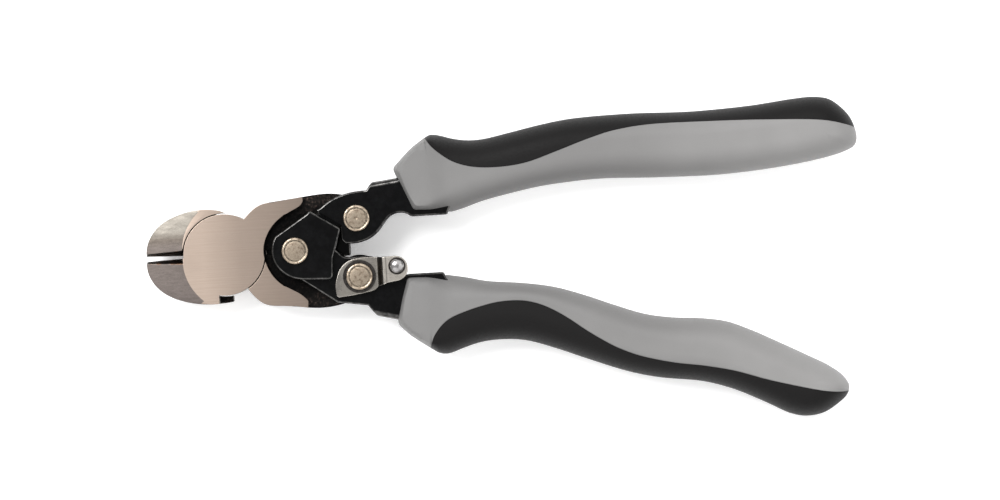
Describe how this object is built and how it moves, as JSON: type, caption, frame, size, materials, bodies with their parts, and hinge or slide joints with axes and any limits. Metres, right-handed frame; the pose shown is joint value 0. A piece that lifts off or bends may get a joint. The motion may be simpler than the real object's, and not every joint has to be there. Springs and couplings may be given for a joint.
{
  "type": "compound leverage cutting pliers",
  "caption": "Hand cutter whose two jaws are driven through a toggle linkage by two cushioned handles, with a thumb latch that holds it shut.",
  "frame": {"origin": "on the main pivot's axis, at the back face of the head", "axes": "+X from the head to the handles, +Y to the upper handle, +Z out of the front of the head"},
  "size_m": [0.204, 0.091, 0.0194],
  "materials": {
    "jaw_steel": "ground and brushed, black forged scale on the tails",
    "pin_steel": "turned",
    "rivet_nickel": "nickel plated, tumbled",
    "spring_steel": "oiled spring wire",
    "frame_paint": "gloss black",
    "latch_steel": "bright zinc plated",
    "stud_chrome": "polished",
    "washer_steel": "dark, oiled",
    "grip_grey": "fine matte moulded",
    "grip_black": "satin moulded rubber"
  },
  "bodies": {
    "jaw_front": {"jaw_front": "jaw_steel", "main_pivot_pin": "pin_steel"},
    "jaw_rear": {"jaw_rear": "jaw_steel"},
    "upper_handle": {"upper_handle_frame": "frame_paint", "upper_link_rivet": "rivet_nickel", "upper_grip_core": "grip_grey", "upper_grip_overlay": "grip_black"},
    "lower_handle": {"lower_handle_frame": "frame_paint", "lower_link_rivet": "rivet_nickel", "center_rivet": "rivet_nickel", "center_spacer": "pin_steel", "return_spring": "spring_steel", "latch_washer": "washer_steel", "lower_grip_core": "grip_grey", "lower_grip_overlay": "grip_black"},
    "latch": {"latch_lever": "latch_steel", "latch_thumb_stud": "stud_chrome"}
  },
  "joints": [
    {"name": "jaw_pivot", "type": "hinge", "parent": "jaw_front", "child": "jaw_rear", "pos_m": [0, 0, 0.0055], "axis": [0, 0, -1], "range_deg": [-3.6, 12.1], "stiffness_Nm_per_rad": 0.15, "deforming": ["return_spring"]},
    {"name": "upper_link", "type": "hinge", "parent": "jaw_front", "child": "upper_handle", "pos_m": [0.0382, 0.0083, 0.0055], "axis": [0, 0, 1], "range_deg": [-2.19, 7.35]},
    {"name": "lower_link", "type": "hinge", "parent": "jaw_rear", "child": "lower_handle", "pos_m": [0.0382, -0.0083, 0.0055], "axis": [0, 0, -1], "range_deg": [-2.19, 7.35]},
    {"name": "latch_pivot", "type": "hinge", "parent": "lower_handle", "child": "latch", "pos_m": [0.0382, -0.0083, 0.0121], "axis": [0, 0, 1], "range_deg": [-4, 25]}
  ],
  "couplings": [
    {"joint": "upper_link", "follows": "jaw_pivot", "ratio": 0.607},
    {"joint": "lower_link", "follows": "jaw_pivot", "ratio": 0.607}
  ]
}
